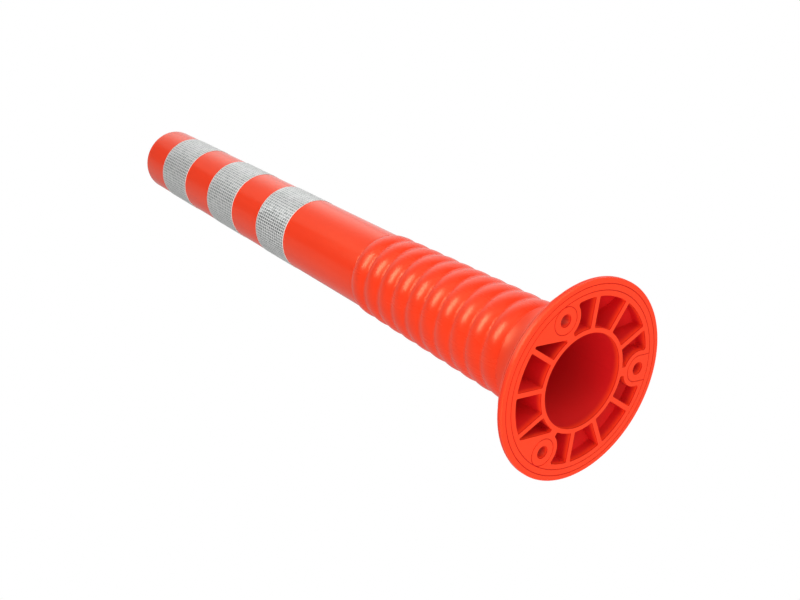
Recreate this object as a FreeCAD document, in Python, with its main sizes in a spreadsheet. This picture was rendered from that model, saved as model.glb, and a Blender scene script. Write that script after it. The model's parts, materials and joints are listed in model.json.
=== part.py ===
import FreeCAD, Part
import math
import os
import Sketcher

# Flexible delineator post, upright, +Z up, origin at the centre of the base's underside.
# The moulded post is built zone by zone so that the bellows can bend: a bolt-down flange,
# ten convolutions and the smooth closed tube. Three reflective sleeves are wrapped on the tube.

DRIVING_SIZES = [
    # overall
    ("post_height", 750.0),
    ("flange_radius", 100.0),
    # smooth tube
    ("tube_foot_radius", 42.8),
    ("tube_top_radius", 37.8),
    ("tube_wall", 4.7),
    ("tube_top_thickness", 6.0),
    ("tube_top_rounding", 5.0),
    # bellows
    ("bellows_bottom", 62.0),
    ("convolution_pitch", 23.5),
    ("valley_radius_low", 50.0),
    ("valley_radius_high", 43.2),
    ("crest_rise", 1.8),
    # flange rim and flare
    ("rim_thickness", 6.5),
    ("rim_rounding", 2.5),
    ("rim_chamfer", 0.8),
    ("flare_foot_inset", 12.0),
    ("flare_foot_height", 16.0),
    ("flare_wall", 4.0),
    ("shoulder_rounding", 3.5),
    ("shoulder_draft", 0.8),
    # underside
    ("bore_radius", 47.6),
    ("pocket_inner_radius", 52.0),
    ("pocket_inset", 17.0),
    ("pocket_inner_rounding", 4.0),
    ("pocket_outer_rounding", 2.5),
    ("rib_thickness", 4.8),
    ("boss_web_thickness", 9.0),
    ("boss_radius", 18.5),
    ("side_land_offset", 45.5),
    ("groove_outer_inset", 5.5),
    ("groove_inner_inset", 11.7),
    ("groove_width", 0.8),
    ("groove_depth", 0.6),
    # anchor holes
    ("bolt_circle_share", 0.513),
    ("bolt_hole_radius", 6.5),
    ("bolt_seat_height", 15.0),
    ("bolt_seat_radius", 14.0),
    ("boss_ring_radius", 13.6),
    # reflective sleeves
    ("sleeve_width", 56.5),
    ("sleeve_pitch", 110.0),
    ("sleeve_top_margin", 46.0),
    ("sleeve_thickness", 0.4),
    ("sleeve_seam_gap", 1.0),
    ("glue_clearance", 0.05),
]

CONVOLUTIONS = 10
BOSSES = 3
RIBS_BETWEEN_BOSSES = 3
SLEEVES = 3
# A fillet takes up to this share of the distance to the next corner, and none is made below a size.
NARROW_WALL_SHARE = 0.3
SMALLEST_FILLET = 0.5

# Heights and radii that follow from the driving sizes.
POCKET_CUT_HEIGHT = "<bellows_bottom>"
POCKET_OUTER = "(<flange_radius> - <pocket_inset>)"
# The bolts stand at a share of the way from the bore to the flange's edge.
BOLT_CIRCLE = "(<bore_radius> + <bolt_circle_share> * (<flange_radius> - <bore_radius>))"
BELLOWS_TOP = "(<bellows_bottom> + %d * <convolution_pitch>)" % CONVOLUTIONS
TUBE_LENGTH = "(<post_height> - %s)" % BELLOWS_TOP
# The flare is an arc that leaves the bellows upright and lands on the rim: its radius follows from
# the step out and the drop between its two ends.
FLARE_FOOT = "(<flange_radius> - <flare_foot_inset>)"
FLARE_STEP = "(%s - <valley_radius_low>)" % FLARE_FOOT
FLARE_DROP = "(<bellows_bottom> - <flare_foot_height>)"
FLARE_RADIUS = "((%s ^ 2 + %s ^ 2) / (2 * %s))" % (FLARE_STEP, FLARE_DROP, FLARE_STEP)
FLARE_CENTRE = "(<valley_radius_low> + %s)" % FLARE_RADIUS

doc = FreeCAD.newDocument("delineator_post")
sheet = doc.addObject("Spreadsheet::Sheet", "sizes")
parts = []


def fill_sheet():
    """Write each driving size into its own named cell."""
    for row, (name, value) in enumerate(DRIVING_SIZES, start=1):
        sheet.set("A%d" % row, name)
        sheet.set("B%d" % row, str(value))
        sheet.setAlias("B%d" % row, name)
    doc.recompute()


def size(name):
    """Value of one named cell."""
    return float(getattr(sheet, name))


def cell(text):
    """Turn an expression of cell names into one that reads the sheet: <name> becomes sizes.name."""
    return text.replace("<", "sizes.").replace(">", "")


def bind(item, **expressions):
    """Bind each named property of an object to an expression of cells."""
    for prop, text in expressions.items():
        item.setExpression(prop, cell(text))
    return item


def place(item, **expressions):
    """Bind the position of an object to expressions of cells."""
    for axis, text in expressions.items():
        item.setExpression("Placement.Base." + axis, cell(text))
    return item


def publish(item, label):
    """Name a finished sub-part: its label is also its file's name."""
    item.Label = label
    parts.append(item)


def origin_plane(body, role):
    """One of the body's own origin planes."""
    for feature in body.Origin.OriginFeatures:
        if feature.Role == role:
            return feature
    raise ValueError(role)


def lathe_profile(body, name, corners, bulges=()):
    """Closed sketch in the XZ plane, its corners placed by (radius, height) expressions.

    bulges maps the index of an edge to the (radius, height) expressions of a point that the edge,
    then an arc, passes through.
    """
    bulges = dict(bulges)
    sketch = body.newObject("Sketcher::SketchObject", name)
    sketch.AttachmentSupport = (origin_plane(body, "XZ_Plane"), [""])
    sketch.MapMode = "FlatFace"
    spots = [evaluate_point(corner) for corner in corners]
    count = len(spots)
    for index in range(count):
        start = spots[index]
        end = spots[(index + 1) % count]
        if index in bulges:
            middle = evaluate_point(bulges[index])
            sketch.addGeometry(Part.Arc(start, middle, end), False)
        else:
            sketch.addGeometry(Part.LineSegment(start, end), False)
    ends = [edge_ends(sketch, index, spots[index]) for index in range(count)]
    for index in range(count):
        following = (index + 1) % count
        join = Sketcher.Constraint("Coincident", index, ends[index][1], following, ends[following][0])
        sketch.addConstraint(join)
    for index, corner in enumerate(corners):
        fix_point(sketch, index, ends[index][0], spots[index], corner)
    for index, corner in bulges.items():
        spot = evaluate_point(corner)
        point = sketch.addGeometry(Part.Point(spot), True)
        fix_point(sketch, point, 1, spot, corner)
        sketch.addConstraint(Sketcher.Constraint("PointOnObject", point, 1, index))
    return sketch


def edge_ends(sketch, index, start):
    """Which of an edge's two end numbers is its start, because an arc may run either way round."""
    first = sketch.getPoint(index, 1)
    if (first - start).Length < 1e-6:
        return (1, 2)
    return (2, 1)


def fix_point(sketch, index, end, spot, corner):
    """Hold a point at a radius and a height given by expressions."""
    for kind, value, text in (("DistanceX", spot.x, corner[0]), ("DistanceY", spot.y, corner[1])):
        number = sketch.addConstraint(Sketcher.Constraint(kind, -1, 1, index, end, value))
        sketch.setExpression("Constraints[%d]" % number, cell(text))


def evaluate_point(corner):
    """Present value of a (radius, height) pair of expressions, as a sketch point."""
    radius = float(sheet.evalExpression(cell(corner[0])))
    height = float(sheet.evalExpression(cell(corner[1])))
    return FreeCAD.Vector(radius, height, 0)


def lathe_body(name, corners, bulges=()):
    """A body turned about the post's axis."""
    body = doc.addObject("PartDesign::Body", name)
    sketch = lathe_profile(body, name + "_profile", corners, bulges)
    turned = body.newObject("PartDesign::Revolution", name + "_turned")
    turned.Profile = sketch
    turned.ReferenceAxis = (sketch, ["V_Axis"])
    turned.Angle = 360.0
    sketch.Visibility = False
    doc.recompute()
    return body


def cylinder(name, radius, height, foot="0"):
    """Upright cylinder on the post's axis."""
    item = doc.addObject("Part::Cylinder", name)
    bind(item, Radius=radius, Height=height)
    place(item, z=foot)
    return item


def cut(name, base, tool):
    item = doc.addObject("Part::Cut", name)
    item.Base = base
    item.Tool = tool
    return item


def fuse(name, members):
    item = doc.addObject("Part::MultiFuse", name)
    item.Shapes = members
    return item


def ring(name, outer, inner, height, foot="0"):
    """Upright tube on the post's axis."""
    shell = cylinder(name + "_outer", outer, height, foot)
    core = cylinder(name + "_inner", inner, height, foot)
    return cut(name, shell, core)


def on_bolt_circle(item, index):
    """Move an upright item from the axis to one of the anchor bolts."""
    angle = 360.0 * index / BOSSES
    place(item, x=BOLT_CIRCLE + " * cos(%g deg)" % angle, y=BOLT_CIRCLE + " * sin(%g deg)" % angle)
    return item


def spoke(name, thickness, degrees):
    """Radial wall from the axis to the outer edge of the pockets."""
    item = doc.addObject("Part::Box", name)
    bind(item, Length=POCKET_OUTER, Width=thickness, Height=POCKET_CUT_HEIGHT)
    turn = FreeCAD.Rotation(FreeCAD.Vector(0, 0, 1), degrees)
    item.Placement = FreeCAD.Placement(FreeCAD.Vector(0, 0, 0), turn)
    place(item, x="%s / 2 * sin(%g deg)" % (thickness, degrees), y="-%s / 2 * cos(%g deg)" % (thickness, degrees))
    return item


def tube_at(height):
    """Outer radius of the slightly tapered tube at a height."""
    share = "(%s - %s) / %s" % (height, BELLOWS_TOP, TUBE_LENGTH)
    return "(<tube_foot_radius> - (<tube_foot_radius> - <tube_top_radius>) * %s)" % share


def bore_at(height):
    """Radius of the smooth tapered bore at a height, from the underside to the tube."""
    tube_bore = "(<tube_foot_radius> - <tube_wall>)"
    return "(<bore_radius> - (<bore_radius> - %s) * (%s) / %s)" % (tube_bore, height, BELLOWS_TOP)


def valley_at(index):
    """Outer radius at the foot of a convolution, counted from the lowest."""
    share = index / float(CONVOLUTIONS)
    return "(<valley_radius_low> - (<valley_radius_low> - <valley_radius_high>) * %g)" % share


def valley_height(index):
    """Height of the foot of a convolution, counted from the lowest."""
    return "(<bellows_bottom> + %g * <convolution_pitch>)" % index


def flare_point(offset, share):
    """Point on an arc beside the flare, an offset inwards, at a share of the drop from the top."""
    drop = "(%s * %g)" % (FLARE_DROP, share)
    radius = "(%s - sqrt((%s + %s) ^ 2 - %s ^ 2))" % (FLARE_CENTRE, FLARE_RADIUS, offset, drop)
    return (radius, "(<bellows_bottom> - %s)" % drop)


def flange_blank():
    """Round flange with its rim, shoulder, flare and tapered bore, still solid underneath."""
    rounding_middle = "<rim_rounding> * %g" % (1 - math.sqrt(0.5))
    shoulder_middle = "<shoulder_rounding> * %g" % math.sqrt(0.5)
    shoulder_low = "(<flare_foot_height> - <shoulder_rounding>)"
    corners = [
        ("<bore_radius>", "0"),
        ("<flange_radius> - <rim_chamfer>", "0"),
        ("<flange_radius>", "<rim_chamfer>"),
        ("<flange_radius>", "<rim_thickness> - <rim_rounding>"),
        ("<flange_radius> - <rim_rounding>", "<rim_thickness>"),
        (FLARE_FOOT + " + <shoulder_rounding> + <shoulder_draft>", "<rim_thickness>"),
        (FLARE_FOOT + " + <shoulder_rounding>", shoulder_low),
        (FLARE_FOOT, "<flare_foot_height>"),
        ("<valley_radius_low>", "<bellows_bottom>"),
        (bore_at("<bellows_bottom>"), "<bellows_bottom>"),
    ]
    bulges = {
        3: ("<flange_radius> - " + rounding_middle, "<rim_thickness> - " + rounding_middle),
        6: (FLARE_FOOT + " + " + shoulder_middle, shoulder_low + " + " + shoulder_middle),
        7: flare_point("0", 0.6),
    }
    return lathe_body("flange_blank", corners, bulges)


def pocket_ceiling_at(radius):
    """Height of the pockets' ceiling, one wall inside the flare, at a radius."""
    drop = "sqrt((%s + <flare_wall>) ^ 2 - (%s - %s) ^ 2)" % (FLARE_RADIUS, FLARE_CENTRE, radius)
    return "(<bellows_bottom> - %s)" % drop


def pocket_space():
    """Space under the flare that the pockets share: its ceiling runs beside the flare."""
    # The ceiling meets the outer wall of the pockets where that wall is still under the flare.
    middle = "((<pocket_inner_radius> + %s) / 2)" % POCKET_OUTER
    corners = [
        ("<pocket_inner_radius>", "0"),
        (POCKET_OUTER, "0"),
        (POCKET_OUTER, pocket_ceiling_at(POCKET_OUTER)),
        ("<pocket_inner_radius>", pocket_ceiling_at("<pocket_inner_radius>")),
    ]
    bulges = {2: (middle, pocket_ceiling_at(middle))}
    return lathe_body("pocket_space", corners, bulges)


def pocket_walls():
    """Everything that stands between the pockets: ribs, bolt bosses and the two flat side lands."""
    walls = []
    sector = 360.0 / BOSSES
    step = sector / (RIBS_BETWEEN_BOSSES + 1)
    for boss in range(BOSSES):
        walls.append(spoke("boss_web_%d" % (boss + 1), "<boss_web_thickness>", boss * sector))
        post = cylinder("boss_%d" % (boss + 1), "<boss_radius>", POCKET_CUT_HEIGHT)
        walls.append(on_bolt_circle(post, boss))
        for rib in range(1, RIBS_BETWEEN_BOSSES + 1):
            degrees = boss * sector + rib * step
            walls.append(spoke("rib_%d_%d" % (boss + 1, rib), "<rib_thickness>", degrees))
    for side, name in ((1, "side_land_left"), (-1, "side_land_right")):
        land = doc.addObject("Part::Box", name)
        length = "%s - %s * cos(60 deg) + <boss_web_thickness>" % (POCKET_OUTER, BOLT_CIRCLE)
        bind(land, Length=length, Width=POCKET_OUTER + " - <side_land_offset>", Height=POCKET_CUT_HEIGHT)
        place(land, x="-" + POCKET_OUTER, y="<side_land_offset>" if side > 0 else "-" + POCKET_OUTER)
        walls.append(land)
    return fuse("pocket_walls", walls)


def round_upright_edges(name, base):
    """Fillet the upright edges of the pockets' cutter, each one limited by the room beside it."""
    middle = (size("pocket_inner_radius") + float(sheet.evalExpression(cell(POCKET_OUTER)))) / 2
    doc.recompute()
    item = doc.addObject("Part::Fillet", name)
    item.Base = base
    upright = {}
    for number, edge in enumerate(base.Shape.Edges, start=1):
        ends = [vertex.Point for vertex in edge.Vertexes]
        if len(ends) == 2 and abs((ends[1] - ends[0]).z) > 0.99 * edge.Length:
            upright[number] = FreeCAD.Vector(ends[0].x, ends[0].y, 0)
    rounded = []
    for number, spot in upright.items():
        nearest = min((spot - other).Length for key, other in upright.items() if key != number)
        wanted = size("pocket_inner_rounding" if spot.Length < middle else "pocket_outer_rounding")
        limited = min(wanted, NARROW_WALL_SHARE * nearest)
        if limited > SMALLEST_FILLET:
            rounded.append((number, limited, limited))
    item.Edges = rounded
    return item


def pocket_cutter():
    """Twelve pockets with rounded corners, closed above by the flare."""
    band = ring("pocket_band", POCKET_OUTER, "<pocket_inner_radius>", POCKET_CUT_HEIGHT)
    plan = cut("pocket_plan", band, pocket_walls())
    rounded = round_upright_edges("pocket_plan_rounded", plan)
    pockets = doc.addObject("Part::Common", "pockets")
    pockets.Base = rounded
    pockets.Tool = pocket_space()
    return pockets


def groove(name, radius):
    """Thin round groove in the underside."""
    return ring(name, radius + " + <groove_width> / 2", radius + " - <groove_width> / 2", "<groove_depth>")


def straight_sided_ring():
    """Groove around the anchor hole on +X: half a ring, and straight sides out to the rim's groove."""
    whole = on_bolt_circle(groove("straight_ring_whole", "<boss_ring_radius>"), 0)
    outer_half = doc.addObject("Part::Box", "straight_ring_outer_half")
    bind(outer_half, Length="2 * <boss_ring_radius>", Width="4 * <boss_ring_radius>", Height="<groove_depth>")
    place(outer_half, x=BOLT_CIRCLE, y="-2 * <boss_ring_radius>")
    pieces = [cut("straight_ring_inner_half", whole, outer_half)]
    reach = "sqrt((<flange_radius> - <groove_inner_inset>) ^ 2 - <boss_ring_radius> ^ 2)"
    for side, name in ((1, "left"), (-1, "right")):
        line = doc.addObject("Part::Box", "straight_ring_" + name)
        bind(line, Length="%s - %s" % (reach, BOLT_CIRCLE), Width="<groove_width>", Height="<groove_depth>")
        place(line, x=BOLT_CIRCLE, y="%d * <boss_ring_radius> - <groove_width> / 2" % side)
        pieces.append(line)
    return pieces


def underside_grooves():
    """Two grooves near the rim and a ring around each anchor hole."""
    grooves = [
        groove("rim_groove_outer", "<flange_radius> - <groove_outer_inset>"),
        groove("rim_groove_inner", "<flange_radius> - <groove_inner_inset>"),
    ]
    for boss in range(1, BOSSES):
        grooves.append(on_bolt_circle(groove("boss_ring_%d" % (boss + 1), "<boss_ring_radius>"), boss))
    return grooves + straight_sided_ring()


def anchor_holes():
    """Bolt holes with a flat seat for the bolt's head sunk into the flare."""
    holes = []
    for boss in range(BOSSES):
        hole = cylinder("anchor_hole_%d" % (boss + 1), "<bolt_hole_radius>", "<bellows_bottom>")
        seat = cylinder("bolt_seat_%d" % (boss + 1), "<bolt_seat_radius>", "<bellows_bottom>", "<bolt_seat_height>")
        holes.append(on_bolt_circle(hole, boss))
        holes.append(on_bolt_circle(seat, boss))
    return holes


def base_flange():
    """Bolt-down flange: pockets, ribs, bosses, grooves and anchor holes."""
    removed = fuse("flange_cuts", anchor_holes() + underside_grooves())
    hollowed = cut("flange_hollowed", flange_blank(), pocket_cutter())
    publish(cut("flange_finished", hollowed, removed), "base_flange")


def convolution(index):
    """One convolution of the bellows, numbered from the lowest."""
    foot = valley_height(index)
    head = valley_height(index + 1)
    middle = valley_height(index + 0.5)
    corners = [
        (bore_at(foot), foot),
        (valley_at(index), foot),
        (valley_at(index + 1), head),
        (bore_at(head), head),
    ]
    crest = (valley_at(index + 0.5) + " + <crest_rise>", middle)
    name = "bellows_convolution_%02d" % (index + 1)
    publish(lathe_body(name.replace("bellows_", ""), corners, {1: crest}), name)


def post_tube():
    """Smooth tapered tube with a closed, rounded top."""
    inner_rounding = "(<tube_top_rounding> - <tube_wall> / 2)"
    outer_middle = "<tube_top_rounding> * %g" % (1 - math.sqrt(0.5))
    inner_middle = inner_rounding + " * %g" % (1 - math.sqrt(0.5))
    shoulder = "(<post_height> - <tube_top_rounding>)"
    ceiling = "(<post_height> - <tube_top_thickness>)"
    inner_shoulder = "(%s - %s)" % (ceiling, inner_rounding)
    inner_top = "(%s - <tube_wall>)" % tube_at(ceiling)
    corners = [
        ("<tube_foot_radius> - <tube_wall>", BELLOWS_TOP),
        ("<tube_foot_radius>", BELLOWS_TOP),
        (tube_at(shoulder), shoulder),
        ("<tube_top_radius> - <tube_top_rounding>", "<post_height>"),
        ("0", "<post_height>"),
        ("0", ceiling),
        (inner_top + " - " + inner_rounding, ceiling),
        (tube_at(inner_shoulder) + " - <tube_wall>", inner_shoulder),
    ]
    bulges = {
        2: ("<tube_top_radius> - " + outer_middle, "<post_height> - " + outer_middle),
        6: (inner_top + " - " + inner_middle, ceiling + " - " + inner_middle),
    }
    publish(lathe_body("smooth_tube", corners, bulges), "post_tube")


def tapered_cylinder(name, offset, foot, height):
    """Upright cone that follows the tube's taper, an offset outside it."""
    item = doc.addObject("Part::Cone", name)
    head = "(%s + %s)" % (foot, height)
    bind(item, Radius1=tube_at(foot) + " + " + offset, Radius2=tube_at(head) + " + " + offset, Height=height)
    return place(item, z=foot)


def reflective_sleeve(index):
    """One wrapped reflective sleeve, counted from the top, with its butt seam at the back."""
    name = "reflective_sleeve_%d" % (index + 1)
    foot = "(<post_height> - <sleeve_top_margin> - <sleeve_width> - %d * <sleeve_pitch>)" % index
    outside = tapered_cylinder(name + "_outside", "<glue_clearance> + <sleeve_thickness>", foot, "<sleeve_width>")
    inside = tapered_cylinder(name + "_inside", "<glue_clearance>", foot, "<sleeve_width>")
    wrap = cut(name + "_wrap", outside, inside)
    seam = doc.addObject("Part::Box", name + "_seam")
    bind(seam, Length="<tube_foot_radius>", Width="<sleeve_seam_gap>", Height="<sleeve_width>")
    place(seam, x="<tube_top_radius> / 2", y="-<sleeve_seam_gap> / 2", z=foot)
    publish(cut(name + "_film", wrap, seam), name)


def check_model():
    """Stop if any object failed, or any sub-part has no sound solid."""
    for item in doc.Objects:
        bad = [state for state in item.State if state in ("Invalid", "Error")]
        if bad:
            raise RuntimeError("%s failed: %s" % (item.Name, bad))
    for item in parts:
        shape = item.Shape
        if shape.isNull() or not shape.isValid() or not shape.Solids:
            raise RuntimeError("%s has no sound solid" % item.Label)


def write_parts():
    """Write each sub-part to its own file."""
    os.makedirs("parts", exist_ok=True)
    for item in parts:
        item.Shape.exportStep(os.path.join("parts", item.Label + ".step"))
        print("%-26s solids %2d  volume %10.1f mm3" % (item.Label, len(item.Shape.Solids), item.Shape.Volume))


fill_sheet()
base_flange()
for number in range(CONVOLUTIONS):
    convolution(number)
post_tube()
for number in range(SLEEVES):
    reflective_sleeve(number)
doc.recompute()
check_model()
write_parts()
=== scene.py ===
import bpy
import json
import math
from mathutils import Matrix, Vector


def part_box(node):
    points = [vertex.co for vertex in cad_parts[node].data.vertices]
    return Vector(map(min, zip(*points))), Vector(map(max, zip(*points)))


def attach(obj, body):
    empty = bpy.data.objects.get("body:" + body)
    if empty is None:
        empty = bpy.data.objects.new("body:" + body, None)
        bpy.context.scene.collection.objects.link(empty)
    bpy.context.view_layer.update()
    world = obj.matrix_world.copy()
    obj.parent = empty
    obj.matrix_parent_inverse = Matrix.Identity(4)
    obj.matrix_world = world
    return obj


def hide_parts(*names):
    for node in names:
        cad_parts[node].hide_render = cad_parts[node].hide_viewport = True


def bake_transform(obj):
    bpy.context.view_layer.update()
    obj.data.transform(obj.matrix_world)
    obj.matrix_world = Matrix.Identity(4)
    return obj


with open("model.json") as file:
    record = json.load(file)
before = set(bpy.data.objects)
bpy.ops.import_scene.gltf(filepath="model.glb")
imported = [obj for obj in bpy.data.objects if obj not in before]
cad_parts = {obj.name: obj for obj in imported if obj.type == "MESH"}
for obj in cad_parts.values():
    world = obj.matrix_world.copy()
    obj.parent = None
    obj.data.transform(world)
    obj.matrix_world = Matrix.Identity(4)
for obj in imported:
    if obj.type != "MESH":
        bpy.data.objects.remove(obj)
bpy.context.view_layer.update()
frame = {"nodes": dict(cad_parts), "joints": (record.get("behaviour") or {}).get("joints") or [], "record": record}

# Flexible delineator post: one orange moulding (flange, bellows, closed tube) and three reflective
# sleeves. Sizes are in metres, and most come from the CAD nodes. Named here are the steps of the
# meshes, surface details, and sizes of the closed top and the seam. The top's rounding and thickness
# and the seam's gap repeat the CAD model's.

AROUND = 192
CREST_STEPS = 22
BORE_STEPS = 6
SHARP_DEGREES = 35
VALLEY_FILLET = 0.17
WITNESS_HEIGHT = 0.00015
WITNESS_WIDTH = 0.00045
LIP_CHAMFER = 0.00025
TOP_ROUNDING = 0.005
TOP_THICKNESS = 0.006
TOP_DISH = 0.0004
INNER_TOP_CHAMFER = 0.003
TUBE_STEPS = 24
TOP_ARC_DEGREES = 84
TOP_ARC_STEPS = 10
SEAM_GAP = 0.001
FILM_BORDER = 0.0011
FILM_EDGE = 0.00012
CELL_ALONG = 0.0038
CELL_AROUND = 0.00335
# Painted shade: the darker red laid on the bore and in the flange's pockets and grooves.
HOLLOW_SHADE_RED = (0.62, 0.004, 0.009, 1)


# ---------------------------------------------------------------- camera, lights and surroundings

# Directions in the shared frame: the way the camera looks, and "up" of the table the post lies on.
VIEW_FORWARD = Vector((0.6184, 0.3445, 0.7063))
TABLE_UP = Vector((-0.2214, -0.9717, -0.0826))


def make_camera():
    """The camera stands below the base and looks up along the post, as at a post lying down."""
    data = bpy.data.cameras.new("camera")
    data.lens = 60.08
    data.sensor_width = 36.0
    data.clip_start = 0.05
    data.clip_end = 50.0
    camera = bpy.data.objects.new("camera", data)
    camera.location = (-0.8700, -0.4660, -0.7287)
    camera.rotation_euler = [math.radians(angle) for angle in (154.03, 38.22, -9.10)]
    bpy.context.scene.collection.objects.link(camera)
    bpy.context.scene.camera = camera


def softbox(name, aim, azimuth, elevation, distance, size, power, long_side=None, glossy=True, diffuse=True):
    """Rectangular area light that looks at a point from a direction given in degrees."""
    data = bpy.data.lights.new(name, "AREA")
    data.shape = "RECTANGLE"
    data.size = size[0]
    data.size_y = size[1]
    data.energy = power
    lamp = bpy.data.objects.new(name, data)
    turn = math.radians(azimuth)
    tilt = math.radians(elevation)
    away = Vector((math.cos(tilt) * math.cos(turn), math.cos(tilt) * math.sin(turn), math.sin(tilt)))
    lamp.location = Vector(aim) + away * distance
    side = Vector(long_side) if long_side else Vector((0, 0, 1)).cross(away)
    side = (side - away * side.dot(away)).normalized()
    up = away.cross(side)
    lamp.rotation_mode = "QUATERNION"
    columns = (side, up, away)
    rows = [[column[axis] for column in columns] for axis in range(3)]
    lamp.rotation_quaternion = Matrix(rows).to_quaternion()
    bpy.context.scene.collection.objects.link(lamp)
    lamp.visible_glossy = glossy
    lamp.visible_diffuse = diffuse


class Nodes:
    """Short way to write a node tree."""

    def __init__(self, tree):
        self.tree = tree
        tree.nodes.clear()

    def add(self, kind, inputs=(), **settings):
        node = self.tree.nodes.new(kind)
        for name, value in settings.items():
            setattr(node, name, value)
        for key, value in dict(inputs).items():
            socket = node.inputs[key]
            if isinstance(value, bpy.types.NodeSocket):
                self.tree.links.new(value, socket)
            else:
                socket.default_value = value
        return node

    def math(self, operation, first, second=0.0, third=0.0):
        inputs = {0: first, 1: second, 2: third}
        return self.add("ShaderNodeMath", inputs, operation=operation).outputs[0]

    def step(self, value, low, high, start=0.0, end=1.0):
        """start below low, end above high, and a smooth change between."""
        inputs = {"Value": value, "From Min": low, "From Max": high, "To Min": start, "To Max": end}
        return self.add("ShaderNodeMapRange", inputs, interpolation_type="SMOOTHSTEP").outputs["Result"]

    def dot(self, vector, direction):
        inputs = {0: vector, 1: tuple(direction)}
        return self.add("ShaderNodeVectorMath", inputs, operation="DOT_PRODUCT").outputs["Value"]

    def blend(self, share, first, second):
        """Colour mix of two colours."""
        node = self.add("ShaderNodeMix", {}, data_type="RGBA", blend_type="MIX")
        for socket, value in ((node.inputs[0], share), (node.inputs[6], first), (node.inputs[7], second)):
            if isinstance(value, bpy.types.NodeSocket):
                self.tree.links.new(value, socket)
            else:
                socket.default_value = value
        return node.outputs[2]


def make_surroundings():
    """White room for the camera; softer walls and table for light and reflections."""
    world = bpy.data.worlds.new("studio")
    world.use_nodes = True
    nodes = Nodes(world.node_tree)
    direction = nodes.add("ShaderNodeTexCoord").outputs["Generated"]
    forward = nodes.dot(direction, VIEW_FORWARD)
    height = nodes.dot(direction, TABLE_UP)
    backdrop = nodes.step(forward, 0.28, 0.62)
    wall = nodes.math("ADD", 0.18, nodes.math("MULTIPLY", backdrop, 0.76))
    far_table = nodes.math("MULTIPLY", nodes.step(height, -0.65, -0.25), nodes.step(forward, 0.3, 0.8))
    table = nodes.math("ADD", 0.44, nodes.math("MULTIPLY", far_table, 0.48))
    above = nodes.step(height, -0.10, 0.0)
    difference = nodes.math("SUBTRACT", wall, table)
    strength = nodes.math("MULTIPLY_ADD", difference, above, table)
    seen = nodes.add("ShaderNodeLightPath").outputs["Is Camera Ray"]
    lit = nodes.add("ShaderNodeBackground", {"Color": (1, 1, 1, 1), "Strength": strength})
    white = nodes.add("ShaderNodeBackground", {"Color": (1, 1, 1, 1), "Strength": 1.0})
    mix = nodes.add("ShaderNodeMixShader", {0: seen, 1: lit.outputs[0], 2: white.outputs[0]})
    nodes.add("ShaderNodeOutputWorld", {"Surface": mix.outputs[0]})
    bpy.context.scene.world = world


def make_floor():
    """Pale ground that the post stands on. It is seen from above only, because the camera is below."""
    half = 40.0
    depth = -0.0004
    mesh = bpy.data.meshes.new("floor")
    corners = [(-half, -half, depth), (half, -half, depth), (half, half, depth), (-half, half, depth)]
    mesh.from_pydata(corners, [], [(0, 1, 2, 3)])
    floor = bpy.data.objects.new("floor", mesh)
    bpy.context.scene.collection.objects.link(floor)
    material = bpy.data.materials.new("pale_floor")
    material.use_nodes = True
    nodes = Nodes(material.node_tree)
    grain = nodes.add("ShaderNodeTexNoise", {"Scale": 3.0, "Detail": 3.0}).outputs[0]
    tone = nodes.blend(grain, (0.80, 0.80, 0.79, 1), (0.86, 0.86, 0.85, 1))
    pale = nodes.add("ShaderNodeBsdfDiffuse", {"Color": tone})
    glow = nodes.add("ShaderNodeEmission", {"Color": tone, "Strength": 0.22})
    lit = nodes.add("ShaderNodeAddShader", {0: pale.outputs[0], 1: glow.outputs[0]})
    clear = nodes.add("ShaderNodeBsdfTransparent")
    below = nodes.add("ShaderNodeNewGeometry").outputs["Backfacing"]
    mix = nodes.add("ShaderNodeMixShader", {0: below, 1: lit.outputs[0], 2: clear.outputs[0]})
    nodes.add("ShaderNodeOutputMaterial", {"Surface": mix.outputs[0]})
    mesh.materials.append(material)
    floor.visible_shadow = False
    floor.visible_diffuse = False
    floor.visible_glossy = False
    floor.visible_transmission = False


# ---------------------------------------------------------------- materials

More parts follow.
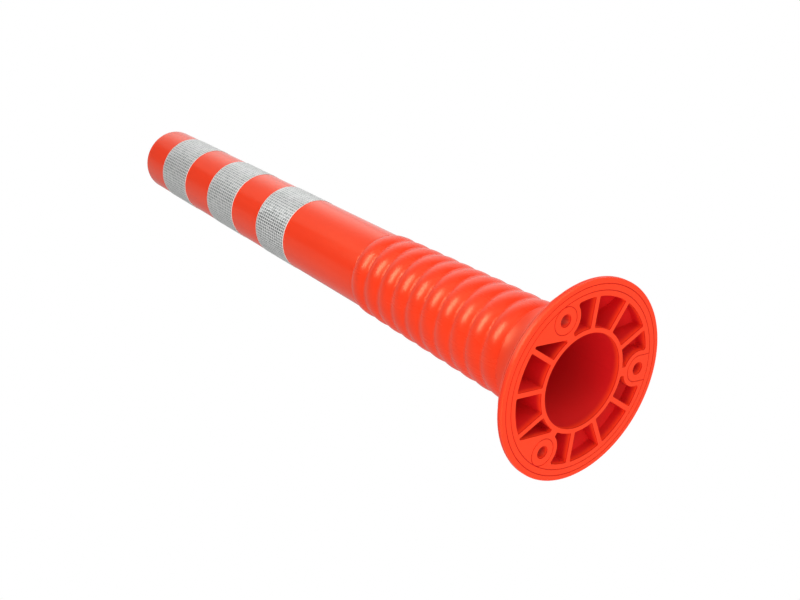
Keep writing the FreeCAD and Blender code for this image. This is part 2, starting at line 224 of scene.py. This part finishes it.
def moulded_plastic(name, roughness, texture_depth, specular, inside):
    """Orange-red moulded polyurethane with slight mottling, flow marks and a fine skin texture.

    The colour deepens to a painted shade, a darker red, in hollows, where what inside gives is 1.
    """
    material = bpy.data.materials.new(name)
    material.use_nodes = True
    nodes = Nodes(material.node_tree)
    place = nodes.add("ShaderNodeTexCoord").outputs["Object"]
    mottle_inputs = {"Vector": place, "Scale": 14.0, "Detail": 3.0, "Roughness": 0.55}
    mottle = nodes.add("ShaderNodeTexNoise", mottle_inputs)
    flow_place = nodes.add("ShaderNodeMapping", {"Vector": place, "Scale": (1.0, 1.0, 0.18)})
    flow = nodes.add("ShaderNodeTexNoise", {"Vector": flow_place.outputs[0], "Scale": 60.0, "Detail": 4.0})
    skin = nodes.add("ShaderNodeTexNoise", {"Vector": place, "Scale": 900.0, "Detail": 3.0})
    speckle = nodes.add("ShaderNodeTexVoronoi", {"Vector": place, "Scale": 260.0})
    tone = nodes.blend(mottle.outputs[0], (0.88, 0.038, 0.0095, 1), (0.93, 0.046, 0.0120, 1))
    warm = nodes.blend(nodes.step(flow.outputs[0], 0.42, 0.72, 0.0, 0.15), tone, (0.95, 0.056, 0.015, 1))
    dust = nodes.step(speckle.outputs["Distance"], 0.02, 0.06, 0.10, 0.0)
    colour = nodes.blend(dust, warm, (0.70, 0.022, 0.008, 1))
    shaded_hollow = inside(nodes, place)
    # Painted shade: the colour turns to the darker shade red where the hollow share is 1.
    colour = nodes.blend(shaded_hollow, colour, HOLLOW_SHADE_RED)
    rough = nodes.math("ADD", roughness - 0.05, nodes.math("MULTIPLY", flow.outputs[0], 0.10))
    rough = nodes.math("ADD", rough, nodes.math("MULTIPLY", shaded_hollow, 0.35))
    waves = nodes.add("ShaderNodeBump", {"Strength": 0.02, "Distance": 0.00025, "Height": flow.outputs[0]})
    bump_inputs = {"Strength": texture_depth, "Distance": 0.00006, "Height": skin.outputs[0]}
    bump = nodes.add("ShaderNodeBump", bump_inputs)
    nodes.tree.links.new(waves.outputs[0], bump.inputs["Normal"])
    shader = nodes.add("ShaderNodeBsdfPrincipled", {
        "Base Color": colour,
        "Roughness": rough,
        "Normal": bump.outputs[0],
        "IOR": 1.5,
        "Specular IOR Level": specular,
        "Specular Tint": (1.0, 0.92, 0.45, 1),
    })
    nodes.add("ShaderNodeOutputMaterial", {"Surface": shader.outputs[0]})
    return material


def flat_place(nodes, place):
    """Position with its height left out, which points away from the post's axis."""
    return nodes.add("ShaderNodeVectorMath", {0: place, 1: (1.0, 1.0, 0.0)}, operation="MULTIPLY").outputs[0]


def nowhere(nodes, place):
    """Share of painted shade on an outside: none."""
    return 0.0


def everywhere(nodes, place):
    """Share of painted shade on the wall of the bore: all of it."""
    return 1.0


def bore_share(nodes, place):
    """1 on the flange's bore and 0 on its outside. It holds only for a node that never turns."""
    out = nodes.add("ShaderNodeVectorMath", {0: flat_place(nodes, place)}, operation="NORMALIZE").outputs[0]
    normal = nodes.add("ShaderNodeNewGeometry").outputs["True Normal"]
    along = nodes.add("ShaderNodeVectorMath", {0: out, 1: normal}, operation="DOT_PRODUCT").outputs["Value"]
    return nodes.step(along, -0.6, -0.4, 1.0, 0.0)


def flange_hollow_shade(nodes, place):
    """Share of painted shade: 1 in the flange's bore and pockets and 0.9 in its grooves, on faces that look down
    or sideways.

    It goes by height, radius and direction alone, so some of the outside takes a share too, such as
    the wall of the rim.
    """
    height = nodes.add("ShaderNodeSeparateXYZ", {0: place}).outputs[2]
    outward = flat_place(nodes, place)
    radius = nodes.add("ShaderNodeVectorMath", {0: outward}, operation="LENGTH").outputs["Value"]
    normal = nodes.add("ShaderNodeNewGeometry").outputs["True Normal"]
    rise = nodes.add("ShaderNodeSeparateXYZ", {0: normal}).outputs[2]
    not_upward = nodes.step(rise, 0.02, 0.12, 1.0, 0.0)
    reach = nodes.math("MAXIMUM", nodes.step(height, 0.036, 0.046, 1.0, 0.0), bore_share(nodes, place))
    pocket = nodes.math("MULTIPLY", nodes.step(height, 0.0005, 0.008), reach)
    above_floor = nodes.step(height, 0.0002, 0.0004)
    low_band = nodes.math("MULTIPLY", above_floor, nodes.step(height, 0.0009, 0.0013, 1.0, 0.0))
    # Painted shade in the grooves, at 0.9 of the full shade.
    groove = nodes.math("MULTIPLY", low_band, nodes.step(radius, 0.0954, 0.0958, 0.9, 0.0))
    return nodes.math("MULTIPLY", nodes.math("MAXIMUM", pocket, groove), not_upward)


def prismatic_film():
    """Metallised prismatic sheeting: small mirror cells between pale sealed lines."""
    material = bpy.data.materials.new("prismatic_film")
    material.use_nodes = True
    nodes = Nodes(material.node_tree)
    # The UV map is in metres: u runs around the sleeve and v along it.
    parts = nodes.add("ShaderNodeSeparateXYZ", {0: nodes.add("ShaderNodeUVMap", uv_map="metres").outputs[0]})
    column = nodes.math("DIVIDE", parts.outputs[0], CELL_AROUND)
    row = nodes.math("DIVIDE", parts.outputs[1], CELL_ALONG)
    across = nodes.math("ABSOLUTE", nodes.math("SUBTRACT", nodes.math("FRACT", column), 0.5))
    along = nodes.math("ABSOLUTE", nodes.math("SUBTRACT", nodes.math("FRACT", row), 0.5))
    line_around = nodes.step(across, 0.32, 0.40)
    line_along = nodes.step(along, 0.34, 0.42)
    line = nodes.math("MAXIMUM", line_around, line_along)
    cell = nodes.add("ShaderNodeCombineXYZ", {0: nodes.math("FLOOR", column), 1: nodes.math("FLOOR", row)})
    chance = nodes.add("ShaderNodeTexWhiteNoise", {"Vector": cell.outputs[0]}, noise_dimensions="2D")
    cloud = nodes.add("ShaderNodeTexNoise", {"Vector": cell.outputs[0], "Scale": 0.13, "Detail": 2.0})
    silver = nodes.blend(chance.outputs["Value"], (0.28, 0.31, 0.30, 1), (0.47, 0.49, 0.48, 1))
    tinted = nodes.blend(nodes.step(cloud.outputs[0], 0.4, 0.7, 0.0, 0.35), silver, (0.46, 0.43, 0.47, 1))
    tilt_inputs = {0: chance.outputs["Color"], 1: (0.5, 0.5, 0.5)}
    tilt = nodes.add("ShaderNodeVectorMath", tilt_inputs, operation="SUBTRACT")
    lean = nodes.add("ShaderNodeVectorMath", {0: tilt.outputs[0], 3: 0.10}, operation="SCALE")
    face = nodes.add("ShaderNodeNewGeometry").outputs["Normal"]
    turned = nodes.add("ShaderNodeVectorMath", {0: face, 1: lean.outputs[0]}, operation="ADD")
    unit = nodes.add("ShaderNodeVectorMath", {0: turned.outputs[0]}, operation="NORMALIZE")
    mirror = nodes.add("ShaderNodeBsdfPrincipled", {
        "Base Color": tinted, "Metallic": 1.0, "Roughness": 0.30, "Normal": unit.outputs[0]})
    ridge = nodes.add("ShaderNodeBump", {"Strength": 0.35, "Distance": 0.00006, "Height": line})
    seal = nodes.add("ShaderNodeBsdfPrincipled", {
        "Base Color": (0.76, 0.76, 0.745, 1), "Roughness": 0.38, "Normal": ridge.outputs[0]})
    sealed = nodes.math("MULTIPLY", line, 0.95)
    mix = nodes.add("ShaderNodeMixShader", {0: sealed, 1: mirror.outputs[0], 2: seal.outputs[0]})
    nodes.add("ShaderNodeOutputMaterial", {"Surface": mix.outputs[0]})
    return material


def film_edge():
    """Pale cut edge and sealed border of the sheeting."""
    material = bpy.data.materials.new("film_edge")
    material.use_nodes = True
    nodes = Nodes(material.node_tree)
    place = nodes.add("ShaderNodeTexCoord").outputs["Object"]
    grain = nodes.add("ShaderNodeTexNoise", {"Vector": place, "Scale": 400.0, "Detail": 2.0})
    tone = nodes.blend(grain.outputs[0], (0.66, 0.62, 0.58, 1), (0.80, 0.76, 0.72, 1))
    bump = nodes.add("ShaderNodeBump", {"Strength": 0.15, "Distance": 0.00005, "Height": grain.outputs[0]})
    shader = nodes.add("ShaderNodeBsdfPrincipled", {
        "Base Color": tone, "Roughness": 0.45, "Normal": bump.outputs[0]})
    nodes.add("ShaderNodeOutputMaterial", {"Surface": shader.outputs[0]})
    return material


# ---------------------------------------------------------------- measuring the CAD nodes

def radii_at(node, height):
    """Smallest and largest radius of a node's corners at one height."""
    found = []
    for vertex in frame["nodes"][node].data.vertices:
        if abs(vertex.co.z - height) < 1e-5:
            found.append(math.hypot(vertex.co.x, vertex.co.y))
    return min(found), max(found)


def span(node):
    """Lowest and highest height of a node."""
    low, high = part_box(node)
    return low[2], high[2]


# ---------------------------------------------------------------- meshes

def turned_mesh(name, profile, start=0.0, sweep=2 * math.pi):
    """Mesh swept round the post's axis from a closed (radius, height) profile, listed anticlockwise.

    A profile point on the axis makes a pole. An edge is marked sharp where the profile turns by more
    than SHARP_DEGREES.
    """
    full = abs(sweep - 2 * math.pi) < 1e-9
    columns = AROUND if full else AROUND + 1
    vertices = []
    rings = []
    for radius, height in profile:
        if radius < 1e-7:
            rings.append([len(vertices)] * columns)
            vertices.append((0.0, 0.0, height))
            continue
        ring = []
        for column in range(columns):
            angle = start + sweep * column / AROUND
            ring.append(len(vertices))
            vertices.append((radius * math.cos(angle), radius * math.sin(angle), height))
        rings.append(ring)
    faces = []
    for index in range(len(profile)):
        lower = rings[index]
        upper = rings[(index + 1) % len(profile)]
        for column in range(AROUND):
            following = (column + 1) % columns
            face = [lower[column], lower[following], upper[following], upper[column]]
            unique = list(dict.fromkeys(face))
            if len(unique) > 2:
                faces.append(unique)
    if not full:
        faces.append([ring[0] for ring in rings])
        faces.append([ring[-1] for ring in reversed(rings)])
    mesh = bpy.data.meshes.new(name)
    mesh.from_pydata(vertices, [], faces)
    mesh.shade_smooth()
    mark_sharp(mesh, math.radians(SHARP_DEGREES))
    piece = bpy.data.objects.new(name, mesh)
    bpy.context.scene.collection.objects.link(piece)
    return piece


def mark_sharp(mesh, limit):
    """Sharpen the edges whose two faces turn by more than a limit, and those without two faces."""
    normals = [polygon.normal.copy() for polygon in mesh.polygons]
    beside = {}
    for polygon in mesh.polygons:
        for key in polygon.edge_keys:
            beside.setdefault(key, []).append(polygon.index)
    sharp = mesh.attributes.new("sharp_edge", "BOOLEAN", "EDGE")
    for edge in mesh.edges:
        pair = beside.get(edge.key, [])
        sharp.data[edge.index].value = len(pair) != 2 or normals[pair[0]].angle(normals[pair[1]], 0.0) > limit
    mesh.update()


def line_bore(piece):
    """Give the faces that look towards the post's axis the piece's second material, the bore's painted shade.

    This is done on the mesh at rest, so it stays true when the piece bends or turns.
    """
    for polygon in piece.data.polygons:
        outward = Vector((polygon.center.x, polygon.center.y, 0.0)).normalized()
        if outward.dot(polygon.normal) < -0.5:
            polygon.material_index = 1


def finish_piece(piece, node, materials):
    """Give a piece its materials and put it in the place of its CAD node."""
    for material in materials:
        piece.data.materials.append(material)
    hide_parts(node)


# ---------------------------------------------------------------- bellows

def crest_share(distance):
    """Height of a convolution's skin between valley, 0, and crest, 1; distance runs 0 to 1 from the crest.

    The crest is a parabola, and a small fillet rounds the valley.
    """
    turn = 1.0 - VALLEY_FILLET
    end = 1.0 - turn ** 2 - turn * VALLEY_FILLET
    if distance < turn:
        share = 1.0 - distance ** 2
    else:
        past = distance - turn
        share = 1.0 - turn ** 2 - 2 * turn * past + turn * past ** 2 / VALLEY_FILLET
    return (share - end) / (1.0 - end)


def convolution_profile(node):
    """Closed section of one convolution, taken from the radii of its CAD node."""
    foot, head = span(node)
    inner_foot, valley_foot = radii_at(node, foot)
    inner_head, valley_head = radii_at(node, head)
    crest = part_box(node)[1][0]
    middle = (valley_foot + valley_head) / 2
    rise = crest - middle
    outer = []
    for step in range(2 * CREST_STEPS + 1):
        share = step / (2 * CREST_STEPS)
        # The steps crowd together towards the two valleys, where the skin turns most.
        along = 0.5 - 0.5 * math.cos(math.pi * share)
        distance = abs(2 * along - 1)
        height = foot + (head - foot) * along
        from_valley = min(along, 1 - along) * (head - foot)
        witness = WITNESS_HEIGHT * math.exp(-(from_valley / WITNESS_WIDTH) ** 2)
        radius = valley_foot + (valley_head - valley_foot) * along + rise * crest_share(distance) + witness
        outer.append((radius, height))
    inner = []
    for step in range(BORE_STEPS + 1):
        share = 1 - step / BORE_STEPS
        inner.append((inner_foot + (inner_head - inner_foot) * share, foot + (head - foot) * share))
    return outer + inner


def make_bellows(material, bore):
    """Ten convolutions; one skin for the convolution node of each joint's child body."""
    members = frame["record"]["behaviour"]["bodies"]
    for joint in frame["joints"]:
        node = next(name for name in members[joint["child"]] if name.startswith("bellows_convolution"))
        piece = turned_mesh(node.replace("bellows_", "skin_"), convolution_profile(node))
        finish_piece(piece, node, [material, bore])
        line_bore(piece)
        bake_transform(piece)


# ---------------------------------------------------------------- tube and sleeves

def arc(centre, radius, start, end, steps):
    """Points of a circular arc in the (radius, height) plane, angles in degrees."""
    points = []
    for step in range(steps + 1):
        angle = math.radians(start + (end - start) * step / steps)
        points.append((centre[0] + radius * math.cos(angle), centre[1] + radius * math.sin(angle)))
    return points


def make_tube(material, bore):
    """Smooth tapered tube with a closed top that is dished a little.

    The top's arc stops short of level, so its rim ends 0.03 mm below the CAD node's top.
    """
    node = "post_tube"
    foot, head = span(node)
    inner, outer = radii_at(node, foot)
    wall = outer - inner
    shoulder = radii_at(node, head - TOP_ROUNDING)[1]
    profile = [(outer - LIP_CHAMFER, foot), (outer, foot + LIP_CHAMFER)]
    side = head - TOP_ROUNDING - foot
    for step in range(1, TUBE_STEPS):
        share = step / TUBE_STEPS
        profile.append((outer + (shoulder - outer) * share, foot + side * share))
    centre = (shoulder - TOP_ROUNDING, head - TOP_ROUNDING)
    profile += arc(centre, TOP_ROUNDING, 0, TOP_ARC_DEGREES, TOP_ARC_STEPS)
    for share in (0.8, 0.5, 0.25, 0.0):
        radius = (shoulder - TOP_ROUNDING) * share
        profile.append((radius, head - TOP_DISH * (1 - share)))
    ceiling = head - TOP_THICKNESS
    inside = shoulder - wall
    profile += [(0.0, ceiling), (inside - INNER_TOP_CHAMFER, ceiling), (inside, ceiling - INNER_TOP_CHAMFER)]
    profile.append((inner, foot))
    piece = turned_mesh("tube_shell", profile)
    finish_piece(piece, node, [material, bore])
    line_bore(piece)
    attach(piece, "upper_post")


def make_sleeve(node, film, edge):
    """One wrapped sleeve of prismatic film with a narrow sealed border and a butt seam at the back."""
    foot, head = span(node)
    inner_foot, outer_foot = radii_at(node, foot)
    inner_head, outer_head = radii_at(node, head)

    def outside(height):
        return outer_foot + (outer_head - outer_foot) * (height - foot) / (head - foot)

    levels = [foot + FILM_EDGE, foot + FILM_BORDER, head - FILM_BORDER, head - FILM_EDGE]
    profile = [(inner_foot, foot), (outer_foot - FILM_EDGE, foot)]
    profile += [(outside(level), level) for level in levels]
    profile += [(outer_head - FILM_EDGE, head), (inner_head, head)]
    seam = SEAM_GAP / (2 * outer_foot)
    name = node.replace("reflective_", "film_")
    piece = turned_mesh(name, profile, start=seam, sweep=2 * math.pi - 2 * seam)
    mesh = piece.data
    layer = mesh.uv_layers.new(name="metres")
    for polygon in mesh.polygons:
        for loop in polygon.loop_indices:
            spot = mesh.vertices[mesh.loops[loop].vertex_index].co
            angle = math.atan2(spot.y, spot.x) % (2 * math.pi)
            layer.data[loop].uv = (angle * outer_foot, spot.z - foot)
        middle = polygon.center
        facing = math.hypot(middle.x, middle.y) > (inner_foot + outside(middle.z)) / 2
        if not (foot + FILM_BORDER < middle.z < head - FILM_BORDER and facing):
            polygon.material_index = 1
    finish_piece(piece, node, [film, edge])
    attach(piece, "upper_post")


def make_lights():
    """Softboxes round the post. Each is wholly above or wholly below the ground, so none crosses it.

    The key and the two fills light the post without showing in reflections, the strip and the sheen
    show in reflections only, and the low key does both.
    """
    bellows = (-0.04, -0.026, 0.18)
    sleeves = (0.0, 0.0, 0.45)
    along_strip = (0.55, -0.83, -0.08)
    softbox("strip", bellows, 217.6, 36.4, 1.5, (0.86, 0.40), 13.0, along_strip, diffuse=False)
    softbox("key", bellows, 244.0, 16.0, 1.7, (1.6, 1.0), 15.0, glossy=False)
    softbox("key_low", bellows, 268.0, -32.0, 1.7, (1.6, 1.1), 15.5)
    softbox("fill_below", bellows, 208.0, -70.0, 1.7, (1.6, 1.6), 15.5, glossy=False)
    softbox("fill_side", bellows, 150.0, -30.0, 1.7, (1.4, 1.3), 19.0, glossy=False)
    softbox("sheen", sleeves, 276.0, 47.0, 1.8, (2.4, 1.4), 5.0, diffuse=False)


def main():
    make_camera()
    make_surroundings()
    make_floor()
    make_lights()
    smooth = moulded_plastic("orange_smooth", 0.19, 0.06, 0.5, nowhere)
    matt = moulded_plastic("orange_matt", 0.27, 0.06, 0.32, nowhere)
    # The bore's wall is painted a shade all over.
    bore = moulded_plastic("orange_bore", 0.27, 0.10, 0.32, everywhere)
    # The flange's bore, pockets and grooves are painted a shade.
    moulded = moulded_plastic("orange_base", 0.38, 0.30, 0.38, flange_hollow_shade)
    film = prismatic_film()
    edge = film_edge()
    flange = frame["nodes"]["base_flange"]
    flange.data.materials.clear()
    flange.data.materials.append(moulded)
    make_bellows(matt, bore)
    make_tube(smooth, bore)
    for node in sorted(frame["nodes"]):
        if node.startswith("reflective_sleeve"):
            make_sleeve(node, film, edge)
    bpy.context.scene.view_settings.view_transform = "Standard"


main()
